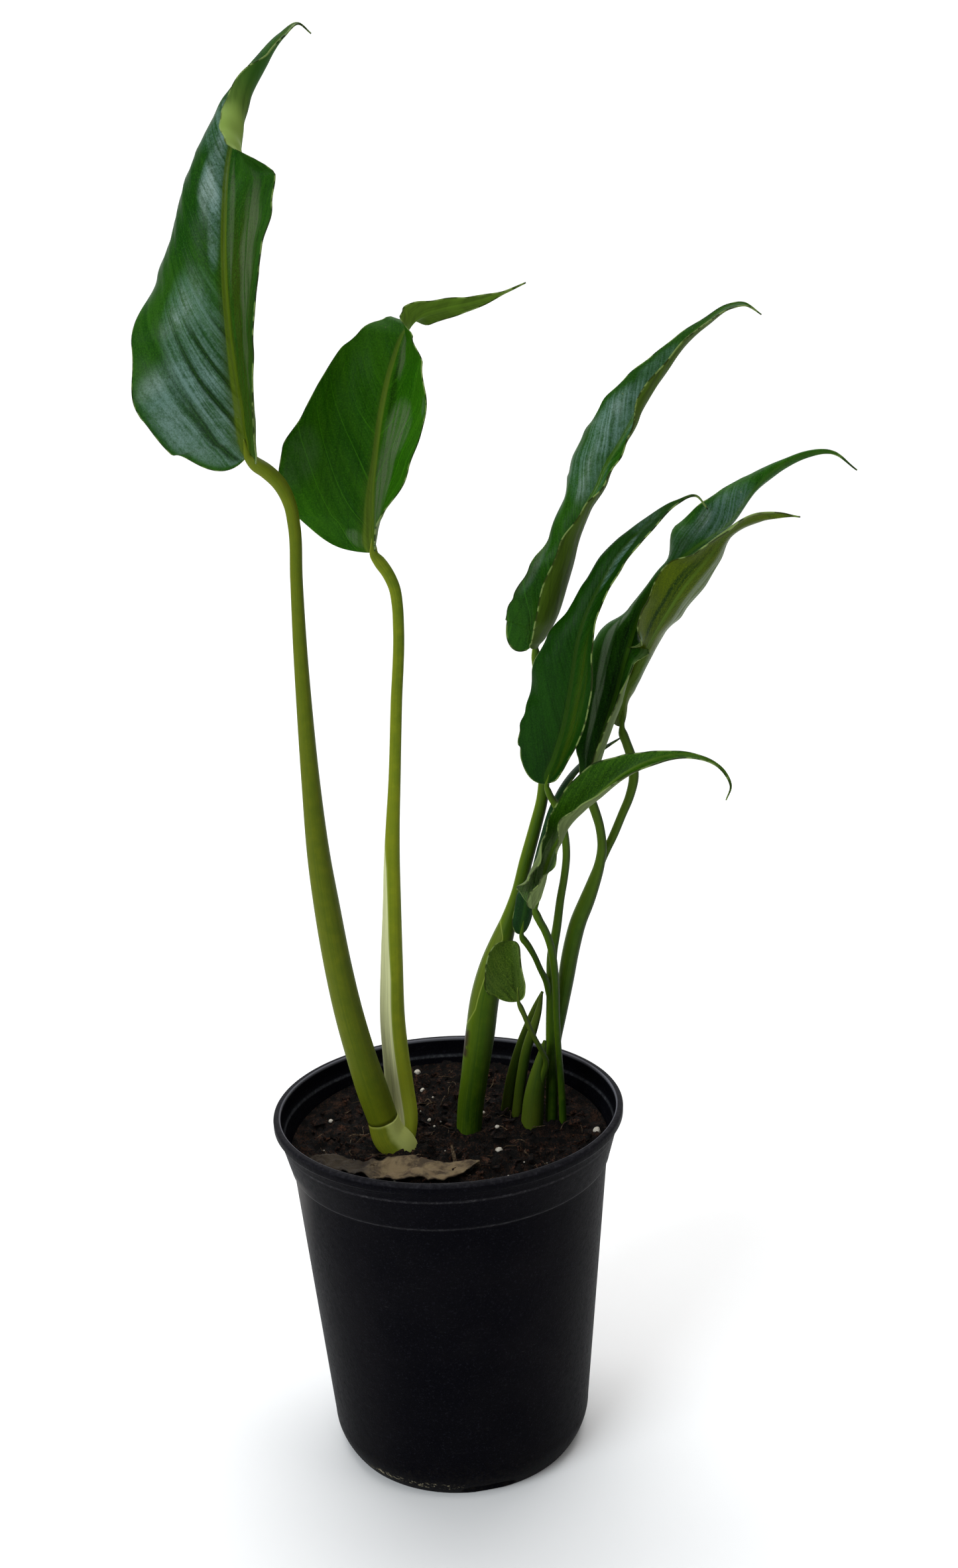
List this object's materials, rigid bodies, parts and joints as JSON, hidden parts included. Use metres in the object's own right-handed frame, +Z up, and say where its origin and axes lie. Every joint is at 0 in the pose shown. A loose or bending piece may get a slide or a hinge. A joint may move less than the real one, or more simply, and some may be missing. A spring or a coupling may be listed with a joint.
{
  "type": "potted plant",
  "caption": "young upright houseplant with long curved petioles and large rolled, drip-tipped leaves, growing from soil in a round black plastic nursery pot",
  "frame": {"origin": "the middle of the pot's underside, at the mount base", "axes": "+Z is up along the pot's axis. +X is to the right and +Y away from a viewer who faces the plant as in the picture"},
  "size_m": [0.3129, 0.165, 0.6453],
  "materials": {
    "pot": "black moulded plastic, satin, with dust and lime marks",
    "soil": "damp dark bark and peat mix, crumbly",
    "leaf": "waxy dark green, glossy above, paler and duller below",
    "petiole": "smooth yellow-green, satin",
    "sheath": "pale green, satin",
    "dead_leaf": "dry brown, matt"
  },
  "bodies": {
    "root": {"pot": "pot", "soil": "soil", "dead_leaf": "dead_leaf", "petiole_tall_left": "petiole", "petiole_second_left": "petiole", "petiole_tall_middle": "petiole", "petiole_front": "petiole", "petiole_long_right": "petiole", "petiole_curled": "petiole", "sheath_outer": "sheath", "sheath_inner": "sheath", "sheath_front": "sheath", "leaf_tall_left": "leaf", "leaf_second_left": "leaf", "leaf_tall_middle": "leaf", "leaf_front": "leaf", "leaf_long_right": "leaf", "leaf_right_open": "leaf", "leaf_curled": "leaf", "leaf_spoon": "leaf", "leaf_quill": "leaf"}
  },
  "joints": []
}
